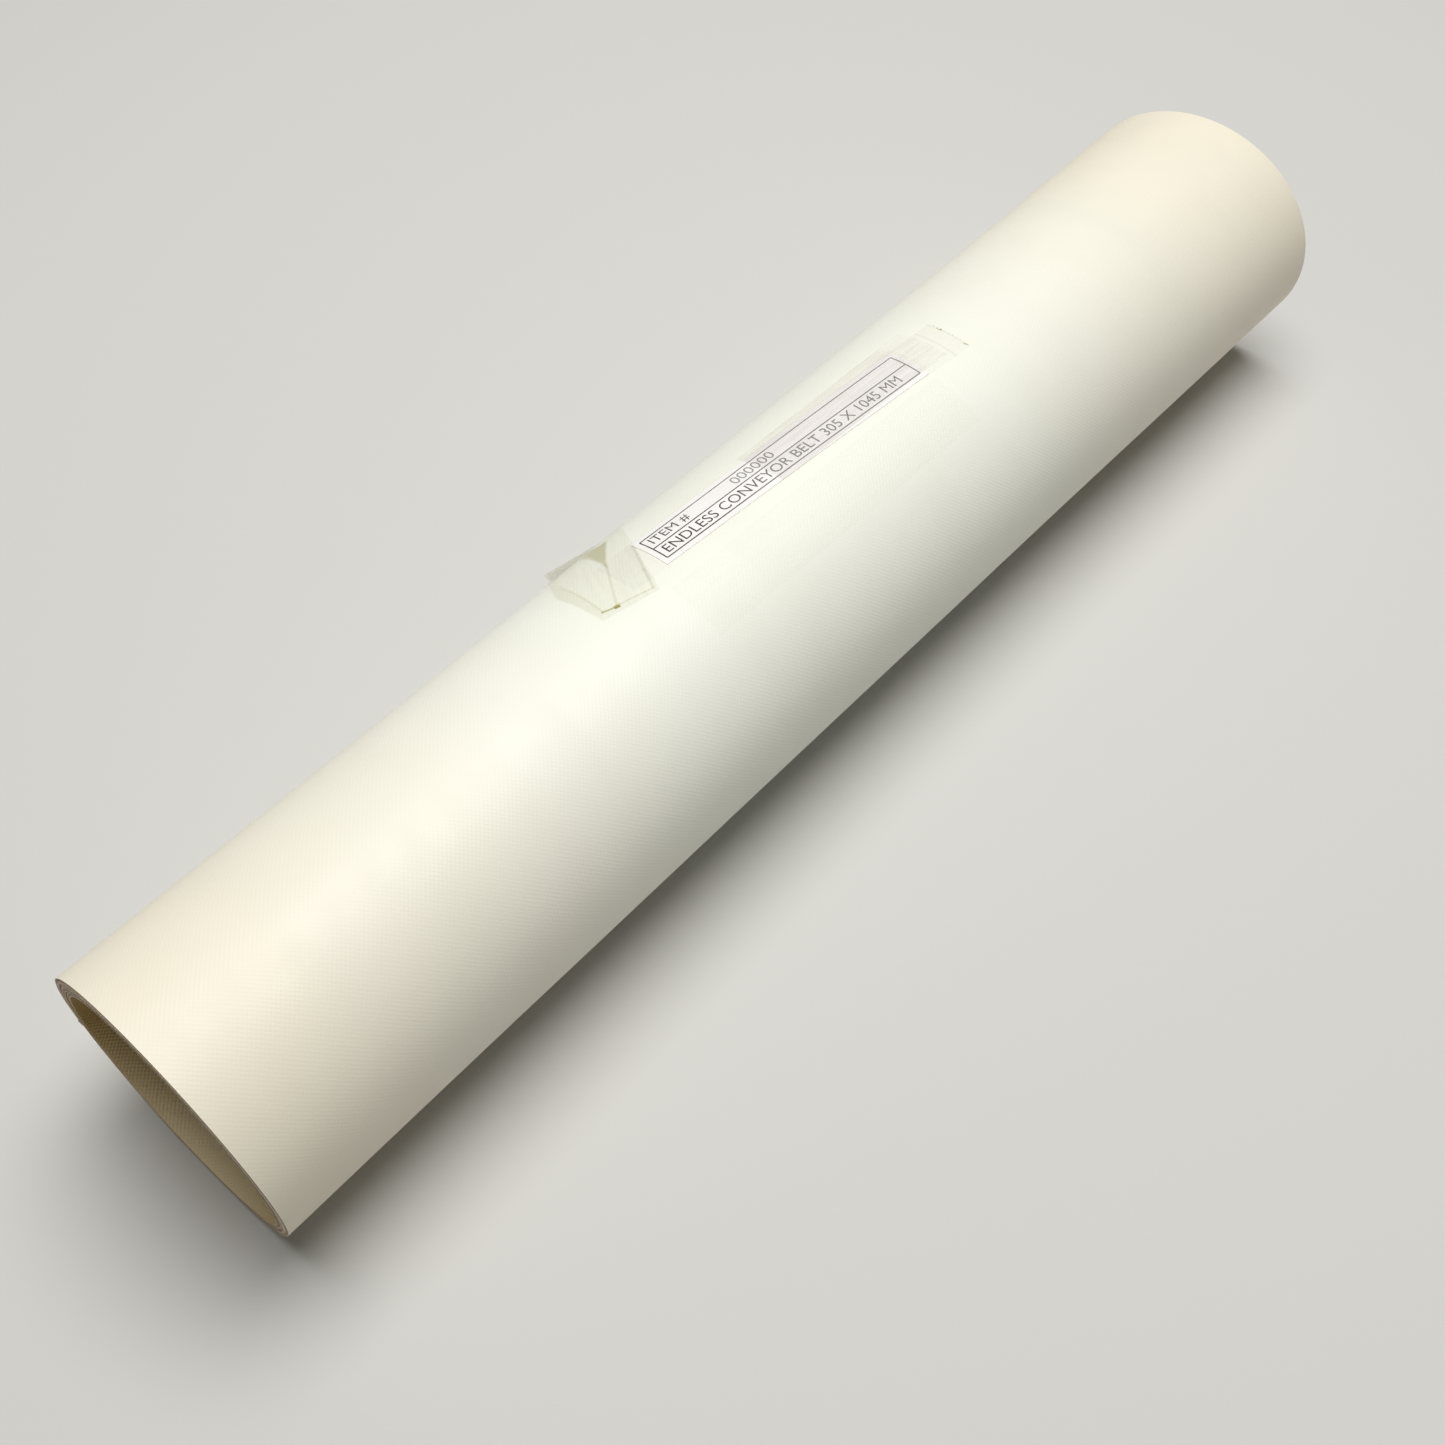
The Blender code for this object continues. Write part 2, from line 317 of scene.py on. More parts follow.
def crease(tree, place, start, end, width):
    """1 on the line between two places of a tape, falling to 0 that far from it."""
    reach = math.dist(start, end)
    middle = [(a + b) / 2 for a, b in zip(start, end)]
    along = [(b - a) / reach for a, b in zip(start, end)]
    offset = vector_maths(tree, "SUBTRACT", place, (*middle, 0.0))
    down = maths(tree, "ABSOLUTE", vector_maths(tree, "DOT_PRODUCT", offset, (*along, 0.0)))
    side = vector_maths(tree, "DOT_PRODUCT", offset, (-along[1], along[0], 0.0))
    beyond = maths(tree, "SUBTRACT", down, reach / 2)
    away = maths(tree, "MAXIMUM", maths(tree, "ABSOLUTE", side), beyond)
    return maths(tree, "MAXIMUM", maths(tree, "SUBTRACT", 1.0, maths(tree, "DIVIDE", away, width)), 0.0)


def within(tree, place, corners, soft):
    """1 inside a region with straight sides, falling to 0 at its edge. The corners run anticlockwise."""
    depths = []
    for start, end in zip(corners, corners[1:] + corners[:1]):
        reach = math.dist(start, end)
        inward = (-(end[1] - start[1]) / reach, (end[0] - start[0]) / reach, 0.0)
        offset = vector_maths(tree, "SUBTRACT", place, (*start, 0.0))
        depths.append(vector_maths(tree, "DOT_PRODUCT", offset, inward))
    depth = depths[0]
    for other in depths[1:]:
        depth = maths(tree, "MINIMUM", depth, other)
    depth = maths(tree, "DIVIDE", depth, soft)
    return maths(tree, "MINIMUM", maths(tree, "MAXIMUM", depth, 0.0), 1.0)


def bore_turn(tree, flat):
    """1 on the innermost turn, which lines the bore, and 0 on the rest of the belt."""
    travelled = maths(tree, "DIVIDE", split(tree, flat, "Y"), BELT_LENGTH * MM_PER_METRE)
    past_fold = ramp(tree, travelled, 0.495, 0.505, grey(0.0), grey(1.0))
    past_bore = ramp(tree, travelled, 0.70, 0.80, grey(1.0), grey(0.0))
    return maths(tree, "MULTIPLY", past_fold, past_bore)


def cover_material():
    """Satin creamy polyurethane with the ply's weave faintly pressed into it.

    It has a painted warm light tint, yellower towards both ends, and painted shade in the bore, browner
    towards its top.
    """
    material, tree, shader = new_material("belt_cover", (0.87, 0.87, 0.78), 0.45)
    shader.inputs["IOR"].default_value = 1.45
    where = add_node(tree, "ShaderNodeTexCoord").outputs["Object"]
    flat = flat_place(tree)
    # Painted warm light: the cover is tinted yellower towards both ends, with a cloudy edge to the tint.
    from_middle = maths(tree, "ABSOLUTE", split(tree, where, "X"))
    clouds = maths(tree, "MULTIPLY", noise(tree, where, 14.0, 3.0), 0.05)
    warm_light_towards_ends = maths(tree, "MULTIPLY", maths(tree, "ADD", from_middle, clouds), 5.0)
    base = ramp(tree, warm_light_towards_ends, 0.35, 0.85, (0.865, 0.868, 0.780), (0.850, 0.792, 0.650))
    handled = noise(tree, stretched(tree, flat, (0.05, 0.012, 1.0)), 1.0, 4.0, 0.6)
    worn = ramp(tree, handled, 0.5, 0.8, grey(0.0), grey(0.3))
    base = mix_colour(tree, worn, base, (0.80, 0.77, 0.67))
    # Painted shade: the turn that lines the bore is painted browner, darkest towards the top of the
    # bore.
    bore_lining = bore_turn(tree, flat)
    up = maths(tree, "MULTIPLY", split(tree, where, "Z"), 20.0)
    painted_bore_shade = ramp(tree, up, 0.08, 0.50, (0.86, 0.73, 0.46), (0.50, 0.35, 0.12))
    base = mix_colour(tree, bore_lining, base, painted_bore_shade)
    tree.links.new(base, shader.inputs["Base Color"])
    threads = weave(tree, flat)
    grain = noise(tree, flat, 2.5, 3.0, 0.6)
    pressed = maths(tree, "ADD", 0.6, maths(tree, "MULTIPLY", bore_lining, 3.5))
    height = maths(tree, "ADD", maths(tree, "MULTIPLY", threads, pressed), grain)
    bump(tree, shader, height, 0.00005, 0.3)
    gloss = ramp(tree, noise(tree, flat, 0.12, 4.0), 0.3, 0.7, grey(0.42), grey(0.54))
    tree.links.new(gloss, shader.inputs["Roughness"])
    return material


def cut_cover_material():
    """The cover's cut edge, darker and browner than the cover, and finely mottled."""
    material, tree, shader = new_material("belt_cover_cut", (0.64, 0.52, 0.37), 0.6)
    where = add_node(tree, "ShaderNodeTexCoord").outputs["Object"]
    fine = noise(tree, where, 1500.0, 2.0)
    colour = ramp(tree, fine, 0.3, 0.7, (0.72, 0.60, 0.44), (0.55, 0.44, 0.30))
    tree.links.new(colour, shader.inputs["Base Color"])
    bump(tree, shader, fine, 0.00004, 0.5)
    return material


def ply_material():
    """Undyed polyester threads, which show at the cut edges."""
    material, tree, shader = new_material("belt_fabric_ply", (0.46, 0.36, 0.24), 0.85)
    flat = flat_place(tree)
    threads = weave(tree, flat)
    where = add_node(tree, "ShaderNodeTexCoord").outputs["Object"]
    fibres = noise(tree, where, 2200.0, 3.0)
    colour = ramp(tree, fibres, 0.3, 0.7, (0.53, 0.42, 0.29), (0.38, 0.29, 0.19))
    tree.links.new(colour, shader.inputs["Base Color"])
    bump(tree, shader, maths(tree, "ADD", threads, fibres), 0.00008, 0.6)
    return material


def paper_material():
    """Office paper with a faint lilac cast, mottled where the glue has wetted it."""
    material, tree, shader = new_material("slip_paper", (0.91, 0.885, 0.87), 0.65)
    flat = flat_place(tree)
    fibres = noise(tree, stretched(tree, flat, (1.0, 2.5, 1.0)), 2.2, 5.0, 0.6)
    wetted = noise(tree, stretched(tree, flat, (0.06, 0.3, 1.0)), 1.0, 3.0)
    mottled = weighted(tree, [(fibres, 0.4), (wetted, 0.6)])
    colour = ramp(tree, mottled, 0.35, 0.65, (0.94, 0.91, 0.90), (0.87, 0.855, 0.84))
    tree.links.new(colour, shader.inputs["Base Color"])
    bump(tree, shader, fibres, 0.00002, 0.4)
    return material


def ink_material(name, darkest, lightest):
    """Toner print, worn thin in places, and more so towards the slip's right end."""
    material, tree, shader = new_material(name, grey((darkest + lightest) / 2), 0.5)
    flat = flat_place(tree)
    specks = noise(tree, flat, 3.0, 4.0, 0.7)
    patches = noise(tree, stretched(tree, flat, (0.06, 0.2, 1.0)), 1.0, 2.0)
    fade = maths(tree, "MULTIPLY", split(tree, flat, "X"), 0.009)
    worn = maths(tree, "ADD", maths(tree, "ADD", specks, patches), fade)
    colour = ramp(tree, worn, 0.7, 1.35, grey(darkest), grey(lightest))
    tree.links.new(colour, shader.inputs["Base Color"])
    return material


def tape_material(name, colour, alpha, streaks, marks=None, milky=None):
    """A clear film: thin in colour, glossy, with streaks in the glue along its length.

    Marks gives the places where the film is creased, doubled or dirty. Milky gives where it has
    come off the belt and stretched pale.
    """
    material, tree, shader = new_material(name, colour, 0.25, alpha)
    shader.inputs["IOR"].default_value = 1.4
    flat = flat_place(tree)
    glue = noise(tree, stretched(tree, flat, (0.08, 0.9, 1.0)), 1.0, 4.0, 0.6)
    low, high = alpha * (1 - streaks), alpha * (1 + streaks)
    cover = ramp(tree, glue, 0.3, 0.7, grey(low), grey(high))
    if marks:
        cover = maths(tree, "ADD", cover, marks(tree, flat))
    if milky:
        stretched_pale = milky(tree, flat)
        cover = maths(tree, "ADD", cover, maths(tree, "MULTIPLY", stretched_pale, 0.24))
        paler = mix_colour(tree, stretched_pale, colour, (0.86, 0.85, 0.70))
        tree.links.new(paler, shader.inputs["Base Color"])
    tree.links.new(maths(tree, "MINIMUM", cover, 1.0), shader.inputs["Alpha"])
    ripples = noise(tree, stretched(tree, flat, (0.15, 0.5, 1.0)), 1.0, 3.0)
    bump(tree, shader, ripples, 0.00015, 0.4)
    return material


def weighted(tree, parts):
    """The sum of several values, each times its weight."""
    total = None
    for value, weight in parts:
        share = maths(tree, "MULTIPLY", value, weight)
        total = share if total is None else maths(tree, "ADD", total, share)
    return total


def torn_end(tree, flat):
    """Dark dots along the torn end of the slip tape, a faint press line, and a clearer left end."""
    specks = ramp(tree, noise(tree, flat, 1.1, 1.0), 0.56, 0.66, grey(0.0), grey(1.0))
    end = crease(tree, flat, *TORN_END_LINE, 0.5)
    dots = maths(tree, "MULTIPLY", specks, end)
    line = crease(tree, flat, *PRESS_LINE, 0.4)
    start = within(tree, flat, CLEAR_LEFT_END, 2.0)
    return weighted(tree, [(dots, 0.7), (line, 0.05), (end, 0.06), (start, -0.010)])


def cleared(tree, flat):
    """The upper tape's right end, past the slip, is less hazy."""
    return maths(tree, "MULTIPLY", within(tree, flat, CLEAR_RIGHT_END, 2.0), -0.032)


def stands_off(tree, flat):
    """Where the closing tape spans the air beside the slip, most at its left edge."""
    return within(tree, flat, STANDING_OFF, 4.0)


def crumples(tree, flat):
    """The closing tape's creases and its pleat folded double, both with painted shade, its hem, a dark
    line and speck at the hem, and a darker band at its left.
    """
    # Painted shade along each crease.
    painted_crease_shade = [(crease(tree, flat, start, end, 0.4), 0.07) for start, end in CREASES]
    hem_line = crease(tree, flat, *HEM, 0.3)
    dark_hem_line = crease(tree, flat, HEM[0], SPECK, 0.25)
    speck = crease(tree, flat, SPECK, (SPECK[0] + 0.1, SPECK[1] - 0.5), 0.4)
    # Painted shadow in the pleat, where the film is also folded double.
    doubled_pleat_with_shadow = within(tree, flat, DOUBLED_PLEAT_WITH_SHADOW, 0.3)
    margin = within(tree, flat, MARGIN, 0.4)
    return weighted(tree, painted_crease_shade + [(hem_line, 0.08), (dark_hem_line, 0.25), (speck, 0.9),
                                   (doubled_pleat_with_shadow, 0.17), (margin, 0.02)])


# --- the belt --------------------------------------------------------------------------------


def turns_passed(wound):
    """How many turns deep the belt lies, once it is wound that far round from the outer fold."""
    turns, rest = np.divmod(wound, 2 * math.pi)
    return turns + ease((rest - STEP_BEGIN) / (STEP_END - STEP_BEGIN))


def looseness(x):
    return through(NEAR_LOOSE, MIDDLE_LOOSE, FAR_LOOSE, x)


def winding_path(loose):
    """The belt's middle line all the way round the loop, in the winding's own terms.

    Each point has an angle, a depth below the outer oval, and a step along and out from there.
    """
    wound = np.linspace(0, WINDING, WINDING_STEPS)
    to_inner = WINDING - wound
    strand_pitch = STRAND_PITCH + loose / 2
    rise = 2 * FOLD_RADIUS - strand_pitch
    slack = INNER_SLACK * ease(1 - to_inner / INNER_SLACK_ANGLE)
    depth = (WRAP_PITCH + loose) * turns_passed(wound) + HALF_BELT + slack
    outer_depth = depth - rise * ease(1 - wound / FOLD_RAMP)
    inner_depth = depth + strand_pitch + rise * ease(1 - to_inner / FOLD_RAMP)
    turn = np.linspace(0, math.pi, FOLD_STEPS + 1)[1:-1]
    along = FOLD_RADIUS * np.sin(turn)
    out = FOLD_RADIUS * (1 - np.cos(turn))
    angle = OUTER_FOLD - wound
    still = np.zeros(WINDING_STEPS)
    in_fold = np.ones(len(turn))
    angles = [angle, angle[-1] * in_fold, angle[::-1], angle[0] * in_fold]
    depths = [outer_depth, outer_depth[:, -1:] * in_fold,
              inner_depth[:, ::-1], inner_depth[:, :1] * in_fold]
    alongs, outs = [still, -along, still, along], [still, -out, still, out]
    return [np.concatenate(values, axis=-1) for values in (angles, depths, alongs, outs)]


def edge_shift(travelled, phase):
    """How far the belt's cut edge sits inside the roll's end, because the turns don't line up."""
    shift = np.zeros_like(travelled)
    for depth, length, phases in EDGE_WAVES:
        shift += depth * (1 + np.sin(2 * math.pi * travelled / length + phases * phase))
    return shift


def belt_points():
    """The belt's middle line in every section: x, y and z, by section and place round the loop."""
    share = np.linspace(0, 1, LENGTH_STEPS + 1)[:, None]
    angle, depth, along, out = winding_path(looseness(HALF_LENGTH * (2 * share - 1)))
    travelled = np.linspace(0, BELT_LENGTH, len(angle))
    near = -HALF_LENGTH + edge_shift(travelled, NEAR_PHASE)
    far = HALF_LENGTH - edge_shift(travelled, FAR_PHASE)
    x = near + (far - near) * share
    y, z, out_y, out_z = on_roll(x, np.broadcast_to(angle, x.shape), -depth)
    y = y + out_z * along + out_y * out
    z = z - out_y * along + out_z * out
    return x, y, z


def beside(y, z, distance):
    """The points that far outside the closed line, side by side with it."""
    before_y, before_z = y - np.roll(y, 1, 1), z - np.roll(z, 1, 1)
    size = np.hypot(before_y, before_z)
    before_y, before_z = before_y / size, before_z / size
    after_y, after_z = np.roll(before_y, -1, 1), np.roll(before_z, -1, 1)
    along_y, along_z = before_y + after_y, before_z + after_z
    size = np.hypot(along_y, along_z)
    along_y, along_z = along_y / size, along_z / size
    reach = distance / (along_y * after_y + along_z * after_z)
    return y + along_z * reach, z - along_y * reach


def finish_shading(mesh):
    """Smooth surfaces with crisp rims."""
    mesh.shade_smooth()
    mesh.set_sharp_from_angle(angle=RIM_ANGLE)
    mesh.update()


def add_piece(name, vertices, faces, places, materials):
    """A mesh object with those vertices and faces, and each face corner's flat place in metres."""
    mesh = bpy.data.meshes.new(name)
    mesh.from_pydata(vertices.tolist(), [], faces.tolist())
    uv = mesh.uv_layers.new(name="flat_mm")
    uv.data.foreach_set("uv", (places * MM_PER_METRE).ravel())
    for material in materials:
        mesh.materials.append(material)
    return add_to_scene(name, mesh)


def add_to_scene(name, data):
    thing = bpy.data.objects.new(name, data)
    bpy.context.scene.collection.objects.link(thing)
    return thing


def layer_faces(sections, count):
    """A belt layer's faces: its outer side, its inner side, and then its two rims."""
    index = np.arange(sections * count).reshape(sections, count)
    following = np.roll(index, -1, axis=1)
    shift = sections * count
    low, high = index[:-1].ravel(), index[1:].ravel()
    low_next, high_next = following[:-1].ravel(), following[1:].ravel()
    outer = np.stack([low, low_next, high_next, high], axis=1)
    inner = np.stack([high, high_next, low_next, low], axis=1) + shift
    near, near_next = index[0], following[0]
    far, far_next = index[-1], following[-1]
    near_rim = np.stack([near_next, near, near + shift, near_next + shift], axis=1)
    far_rim = np.stack([far, far_next, far_next + shift, far + shift], axis=1)
    return np.concatenate([outer, inner, near_rim, far_rim])


def layer_places(x, faces):
    """Each face corner's place on the flat belt: across it, and along the loop."""
    sections, count = x.shape
    travelled = np.linspace(0, BELT_LENGTH, count + 1)
    place = np.zeros((sections * count, 2))
    place[:, 0] = x.ravel()
    place[:, 1] = np.tile(travelled[:-1], sections)
    place = np.concatenate([place, place])[faces.ravel()]
    last = (faces % count == count - 1).any(axis=1) & (faces % count == 0).any(axis=1)
    wraps = np.repeat(last, 4) & (faces.ravel() % count == 0)
    place[wraps, 1] = travelled[-1]
    return place


def build_layer(name, points, outside, inside, surface, rim):
    """One layer of the belt as a closed sheet, between two distances from the belt's middle."""
    x, y, z = points
    sides = [np.stack([x, *beside(y, z, distance)], axis=-1) for distance in (outside, inside)]
    vertices = np.concatenate([side.reshape(-1, 3) for side in sides])
    sections, count = x.shape
    faces = layer_faces(sections, count)
    piece = add_piece(name, vertices, faces, layer_places(x, faces), [surface, rim])
    which = np.zeros(len(faces), int)
    which[-2 * count:] = 1
    piece.data.polygons.foreach_set("material_index", which)
    finish_shading(piece.data)
    return piece


def make_belt():
    points = belt_points()
    under_cover = HALF_BELT - COVER_THICKNESS
    cover = build_layer("rolled_cover", points, HALF_BELT, under_cover,
                        cover_material(), cut_cover_material())
    woven = ply_material()
    ply = build_layer("rolled_ply", points, under_cover - BOND_GAP, -HALF_BELT, woven, woven)
    for piece, node in ((cover, "belt_cover"), (ply, "belt_fabric_ply")):
        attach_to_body(piece, "root")
        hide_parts(node)


# --- slip and tapes --------------------------------------------------------------------------


def to_roll(place, along, across):
    """The x and the length round the roll of a point on a flat slip or tape."""
    middle_x, middle_round, _, _, turn = place
    x = middle_x + along * math.cos(turn) - across * math.sin(turn)
    around = middle_round + along * math.sin(turn) + across * math.cos(turn)
    return x, around


def on_sheet(place, x, around):
    """The place on a flat slip or tape of a point of the roll."""
    middle_x, middle_round, _, _, turn = place
    dx, dr = x - middle_x, around - middle_round
    return dx * math.cos(turn) + dr * math.sin(turn), dr * math.cos(turn) - dx * math.sin(turn)


def covered(place, x, around, soft):
    """1 where a slip or tape lies, falling to 0 within a soft distance outside its edges."""
    along, across = on_sheet(place, x, around)
    over_along = abs(along) - place[2] / 2 - SHEET_CELL
    over_across = abs(across) - place[3] / 2 - SHEET_CELL
    beyond = np.hypot(np.maximum(over_along, 0), np.maximum(over_across, 0))
    return 1 - ease(beyond / soft)


def slip_top(x, around):
    return (CLEARANCE + PAPER_THICKNESS) * covered(SLIP, x, around, PAPER_SLOPE)


def slip_tape_height(x, around):
    return CLEARANCE + slip_top(x, around)


def upper_tape_height(x, around):
    film = CLEARANCE + TAPE_THICKNESS
    return slip_tape_height(x, around) + film * covered(SLIP_TAPE, x, around, FILM_SLOPE)


def stuck_flat(x, around):
    return np.full_like(x, CLEARANCE)


def fold_in(along, across, length, width):
    """Moves points of the closing tape's first part to their places in its narrower start."""
    opened = np.clip((along + length / 2) / (FULL_WIDTH_FROM + length / 2), 0, 1)
    share = across / width + 0.5
    end_along = FOLDED_RIGHT[0] + (FOLDED_LEFT[0] - FOLDED_RIGHT[0]) * share
    end_across = FOLDED_RIGHT[1] + (FOLDED_LEFT[1] - FOLDED_RIGHT[1]) * share
    start_along = end_along + (FULL_WIDTH_FROM - end_along) * opened
    return np.where(opened < 1, start_along, along), end_across + (across - end_across) * opened


def sheet_faces(index):
    """A sheet's faces: its top, its bottom and its rim. The bottom's vertices come first."""
    quads = np.stack([index[:-1, :-1], index[1:, :-1], index[1:, 1:], index[:-1, 1:]], axis=-1)
    quads = quads.reshape(-1, 4)
    border = np.concatenate([index[:, 0], index[-1, 1:], index[-2::-1, -1], index[0, -2:0:-1]])
    following = np.roll(border, -1)
    shift = index.size
    rim = np.stack([border, following, following + shift, border + shift], axis=1)
    return np.concatenate([quads + shift, quads[:, ::-1], rim])


def build_sheet(name, place, height_at, thickness, material, teeth=0.0):
    """A thin closed sheet that follows the roll. Teeth are the depth of its cut end's zigzag."""
    length, width = place[2:4]
    columns, rows = math.ceil(length / SHEET_CELL), 2 * math.ceil(width / SHEET_CELL / 2)
    along, across = np.meshgrid(np.linspace(-0.5, 0.5, columns + 1) * length,
                                np.linspace(-0.5, 0.5, rows + 1) * width, indexing="ij")
    along[-1] -= np.where(np.arange(rows + 1) % 2, 0.0, teeth)
    if place == CLOSING_TAPE:
        along, across = fold_in(along, across, length, width)
    x, around = to_roll(place, along, across)
    angle = angle_at(x, around)
    height = height_at(x, around)
    bottom = np.stack([x, *on_roll(x, angle, height)[:2]], axis=-1).reshape(-1, 3)
    top = np.stack([x, *on_roll(x, angle, height + thickness)[:2]], axis=-1).reshape(-1, 3)
    faces = sheet_faces(np.arange(along.size).reshape(along.shape))
    flat = np.stack([along.ravel(), across.ravel()], axis=1)
    places = np.concatenate([flat, flat])[faces.ravel()]
    piece = add_piece(name, np.concatenate([bottom, top]), faces, places, [material])
    finish_shading(piece.data)
    return piece


def attach(piece, node):
    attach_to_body(piece, "root")
    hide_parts(node)


def closing_tape_height(x, around):
    """Stuck flat at the top, standing off where it goes over the side and the outer fold, then stuck."""
    angle = angle_at(x, around)
    along, across = on_sheet(CLOSING_TAPE, x, around)
    lifted = TENT_RISE * np.clip((across - TENT_FROM) / TENT_REACH, 0, 1)
    tent = lifted * np.interp(angle, TENT_ANGLES, [0.0, 1.0, 0.0])
    past_fold = angle - OUTER_FOLD
    over_fold = OVER_FOLD_RISE * np.interp(past_fold, OVER_FOLD_ANGLES, [0.0, 1.0, 1.0, 0.0])
    landed = np.interp(past_fold, OVER_FOLD_ANGLES[2:], [0.0, 1.0])
    passed = turns_passed(2 * math.pi - np.maximum(past_fold, OVER_FOLD_ANGLES[-1]))
    drop = (WRAP_PITCH + looseness(x)) * passed * landed
    along, across = along * MM_PER_METRE, across * MM_PER_METRE
    ridges = np.zeros_like(x)
    for start, end in CREASES:
        ridges = np.maximum(ridges, ridge(along, across, start, end))
    return upper_tape_height(x, around) + tent + over_fold - drop + CREASE_HEIGHT * ridges


def ridge(along, across, start, end):
    """1 on the line from start to end, falling to 0 at the width of a crease."""
    reach = math.dist(start, end)
    way = [(b - a) / reach for a, b in zip(start, end)]
    far_along, far_across = along - start[0], across - start[1]
    down = np.clip(far_along * way[0] + far_across * way[1], 0, reach)
    away = np.hypot(far_along - down * way[0], far_across - down * way[1])
    return np.maximum(1 - away / CREASE_WIDTH, 0)


def make_slip_and_tapes():
    paper = build_sheet("printed_slip", SLIP, stuck_flat, PAPER_THICKNESS, paper_material())
    attach(paper, "paper_slip")
    torn = tape_material("slip_tape", (0.62, 0.54, 0.38), 0.02, 0.5, torn_end)
    hazy = tape_material("upper_tape", (0.55, 0.43, 0.33), 0.042, 0.6, cleared)
    clear = tape_material("front_tape", (0.60, 0.56, 0.45), 0.010, 0.5)
    creased = tape_material("closing_tape", (0.44, 0.41, 0.11), 0.032, 0.4, crumples, stands_off)
    tapes = [
        ("tape_over_slip", "slip_tape", SLIP_TAPE, slip_tape_height, torn, TEETH),
        ("tape_above_slip", "upper_tape", UPPER_TAPE, upper_tape_height, hazy, 0.0),
        ("tape_in_front", "front_tape", FRONT_TAPE, stuck_flat, clear, 0.0),
        ("tape_round_back", "closing_tape", CLOSING_TAPE, closing_tape_height, creased, 0.0),
    ]
    for name, node, place, height_at, material, teeth in tapes:
        piece = build_sheet(name, place, height_at, TAPE_THICKNESS, material, teeth)
        attach(piece, node)


# --- print on the slip -----------------------------------------------------------------------

PRINT_LENGTH, PRINT_WIDTH = 0.0694, 0.0077
RULE_WIDTH = 0.00028
CAPITAL_HEIGHT = 0.0024
INK_THICKNESS = 0.000006
WORD_CELL = 0.0004
RULE_CELL = 0.0006
SAME_PLACE = 0.000001

# Each line of words, its start from the slip's printed frame, its length, its row and its ink.
WORDS = [
    ("ITEM #", 0.0012, 0.0094, 1, 0),
    ("000000", 0.0222, 0.0108, 1, 1),
    ("ENDLESS CONVEYOR BELT 305 X 1045 MM", 0.0012, 0.0640, -1, 0),
]


def words_mesh(words, length):
    """Generic words as a flat mesh, capitals CAPITAL_HEIGHT tall and the line that long."""
    curve = bpy.data.curves.new("words", "FONT")
    curve.body = words
    curve.resolution_u = 3
    curve.extrude = INK_THICKNESS / 2
    holder = add_to_scene("words", curve)
    bpy.context.view_layer.update()
    shown = holder.evaluated_get(bpy.context.evaluated_depsgraph_get())
    bm = bmesh.new()
    bm.from_mesh(bpy.data.meshes.new_from_object(shown))
    bpy.data.objects.remove(holder)
    low_x, high_x = min(v.co.x for v in bm.verts), max(v.co.x for v in bm.verts)
    low_y, high_y = min(v.co.y for v in bm.verts), max(v.co.y for v in bm.verts)
    for vert in bm.verts:
        vert.co.x = (vert.co.x - low_x) / (high_x - low_x) * length
        vert.co.y = (vert.co.y - low_y) / (high_y - low_y) * CAPITAL_HEIGHT
    bmesh.ops.remove_doubles(bm, verts=bm.verts, dist=SAME_PLACE)
    for cut in np.arange(WORD_CELL, CAPITAL_HEIGHT, WORD_CELL):
        cut_across(bm, (0, cut, 0), (0, 1, 0))
    return bm


def cut_across(bm, point, normal):
    """Cuts flat print along a plane, so that it can bend there."""
    bmesh.ops.bisect_plane(bm, geom=bm.verts[:] + bm.edges[:] + bm.faces[:],
                           plane_co=point, plane_no=normal)


def bar_mesh(length, width):
    bm = bmesh.new()
    bmesh.ops.create_cube(bm, size=1.0)
    for vert in bm.verts:
        vert.co = (vert.co.x * length, vert.co.y * width, vert.co.z * INK_THICKNESS)
    for axis, size in ((0, length), (1, width)):
        normal = [float(i == axis) for i in range(3)]
        for cut in np.arange(-size / 2 + RULE_CELL, size / 2, RULE_CELL):
            cut_across(bm, [cut * n for n in normal], normal)
    return bm


def lay_print(target, bm, along, across, ink=0):
    """Moves flat print to its place on the slip, bends it round the roll, and adds it to target."""
    flat = np.array([vert.co for vert in bm.verts]) + (along, across, 0.0)
    x, around = to_roll(SLIP, flat[:, 0], flat[:, 1])
    height = CLEARANCE + PAPER_THICKNESS + INK_THICKNESS + flat[:, 2]
    y, z, _, _ = on_roll(x, angle_at(x, around), height)
    layer = bm.loops.layers.uv.new("flat_mm")
    for face in bm.faces:
        face.material_index = ink
        for loop in face.loops:
            loop[layer].uv = tuple(flat[loop.vert.index][:2] * MM_PER_METRE)
    for i, vert in enumerate(bm.verts):
        vert.co = (x[i], y[i], z[i])
    part = bpy.data.meshes.new("part")
    bm.to_mesh(part)
    bm.free()
    target.from_mesh(part)
    bpy.data.meshes.remove(part)


def make_print():
    target = bmesh.new()
    half_length, half_width = PRINT_LENGTH / 2, PRINT_WIDTH / 2
    for across in (-half_width, 0.0, half_width):
        lay_print(target, bar_mesh(PRINT_LENGTH, RULE_WIDTH), 0.0, across)
    for along in (-half_length, half_length):
        lay_print(target, bar_mesh(RULE_WIDTH, PRINT_WIDTH), along, 0.0)
    for words, start, length, row, ink in WORDS:
        across = (row * half_width - CAPITAL_HEIGHT) / 2
        lay_print(target, words_mesh(words, length), start - half_length, across, ink)
    mesh = bpy.data.meshes.new("slip_print")
    target.to_mesh(mesh)
    target.free()
    mesh.materials.append(ink_material("slip_ink", 0.02, 0.22))
    mesh.materials.append(ink_material("slip_ink_faint", 0.16, 0.34))
    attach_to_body(add_to_scene("slip_print", mesh), "root")


# --- floor, light and camera -----------------------------------------------------------------

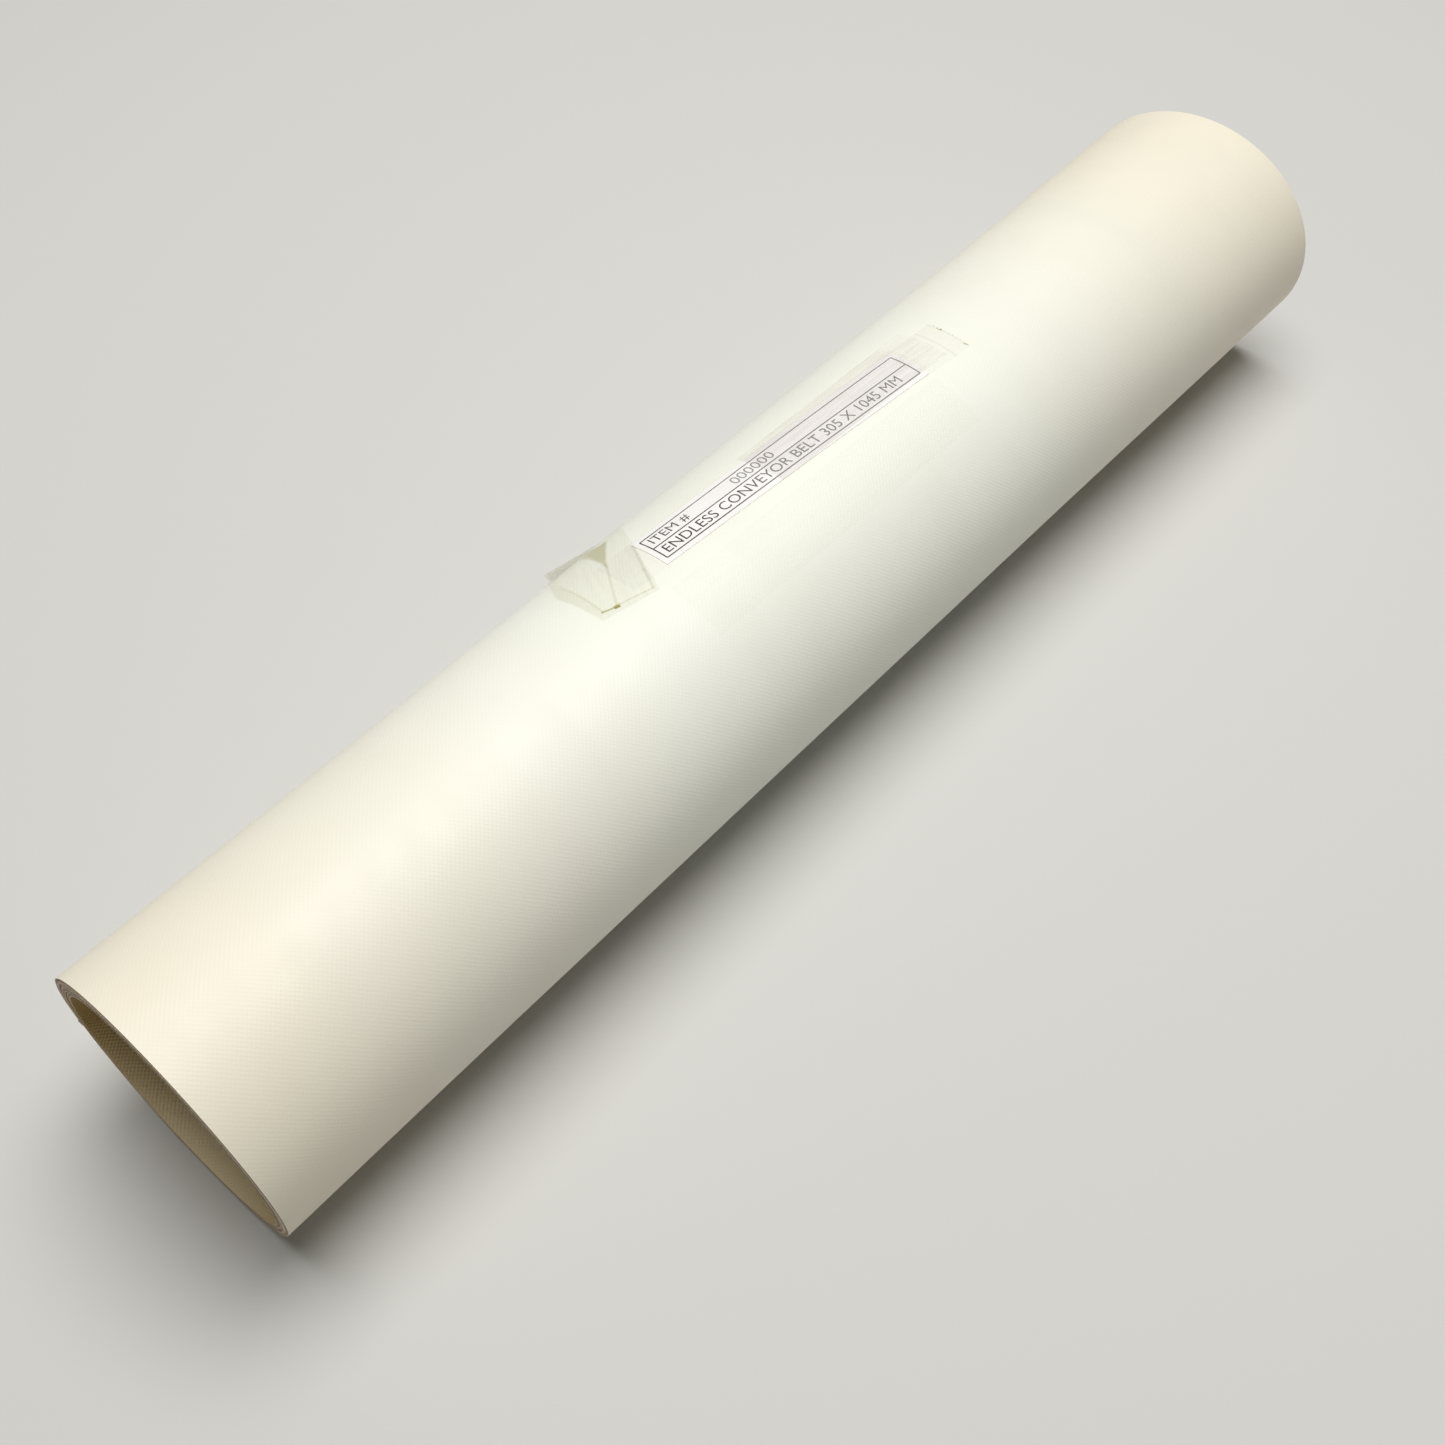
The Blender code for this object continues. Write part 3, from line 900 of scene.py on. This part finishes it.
FLOOR_HALF = 3.0
FLOOR_COLOUR = (0.63, 0.62, 0.595)
KEY_PLACE, KEY_TARGET = (0.12, 0.06, 1.2), (0.0, 0.0, 0.03)
KEY_SIZE, KEY_POWER, KEY_COLOUR = 1.0, 16.5, (1.0, 0.998, 0.985)
ROOM_COLOUR, ROOM_STRENGTH = (1.0, 0.985, 0.95), 0.10
SENSOR, LENS = 36.0, 40.19
CAMERA_PLACE = (-0.17366, AXIS_Y - 0.13433, 0.26601)
CAMERA_TILT, CAMERA_TURN = math.radians(37.064), math.radians(-48.804)


def make_floor():
    bm = bmesh.new()
    bmesh.ops.create_grid(bm, x_segments=1, y_segments=1, size=FLOOR_HALF)
    mesh = bpy.data.meshes.new("floor")
    bm.to_mesh(mesh)
    bm.free()
    material, _, _ = new_material("floor", FLOOR_COLOUR, 0.9)
    mesh.materials.append(material)
    add_to_scene("floor", mesh)


def make_key_light():
    light = bpy.data.lights.new("key", "AREA")
    light.shape = "DISK"
    light.size = KEY_SIZE
    light.energy = KEY_POWER
    light.color = KEY_COLOUR
    lamp = add_to_scene("key", light)
    lamp.location = KEY_PLACE
    lamp.rotation_euler = (Vector(KEY_TARGET) - Vector(KEY_PLACE)).to_track_quat("-Z", "Y").to_euler()


def make_room():
    """An even, dim light from all round, and plain display colours."""
    world = bpy.data.worlds.new("room")
    world.use_nodes = True
    background = world.node_tree.nodes["Background"]
    background.inputs["Color"].default_value = (*ROOM_COLOUR, 1.0)
    background.inputs["Strength"].default_value = ROOM_STRENGTH
    bpy.context.scene.world = world
    bpy.context.scene.view_settings.view_transform = "Standard"


def make_camera():
    data = bpy.data.cameras.new("camera")
    data.sensor_width = SENSOR
    data.lens = LENS
    data.clip_start = 0.01
    camera = add_to_scene("camera", data)
    camera.location = CAMERA_PLACE
    camera.rotation_euler = (CAMERA_TILT, 0.0, CAMERA_TURN)
    bpy.context.scene.camera = camera


make_belt()
make_slip_and_tapes()
make_print()
make_floor()
make_key_light()
make_room()
make_camera()
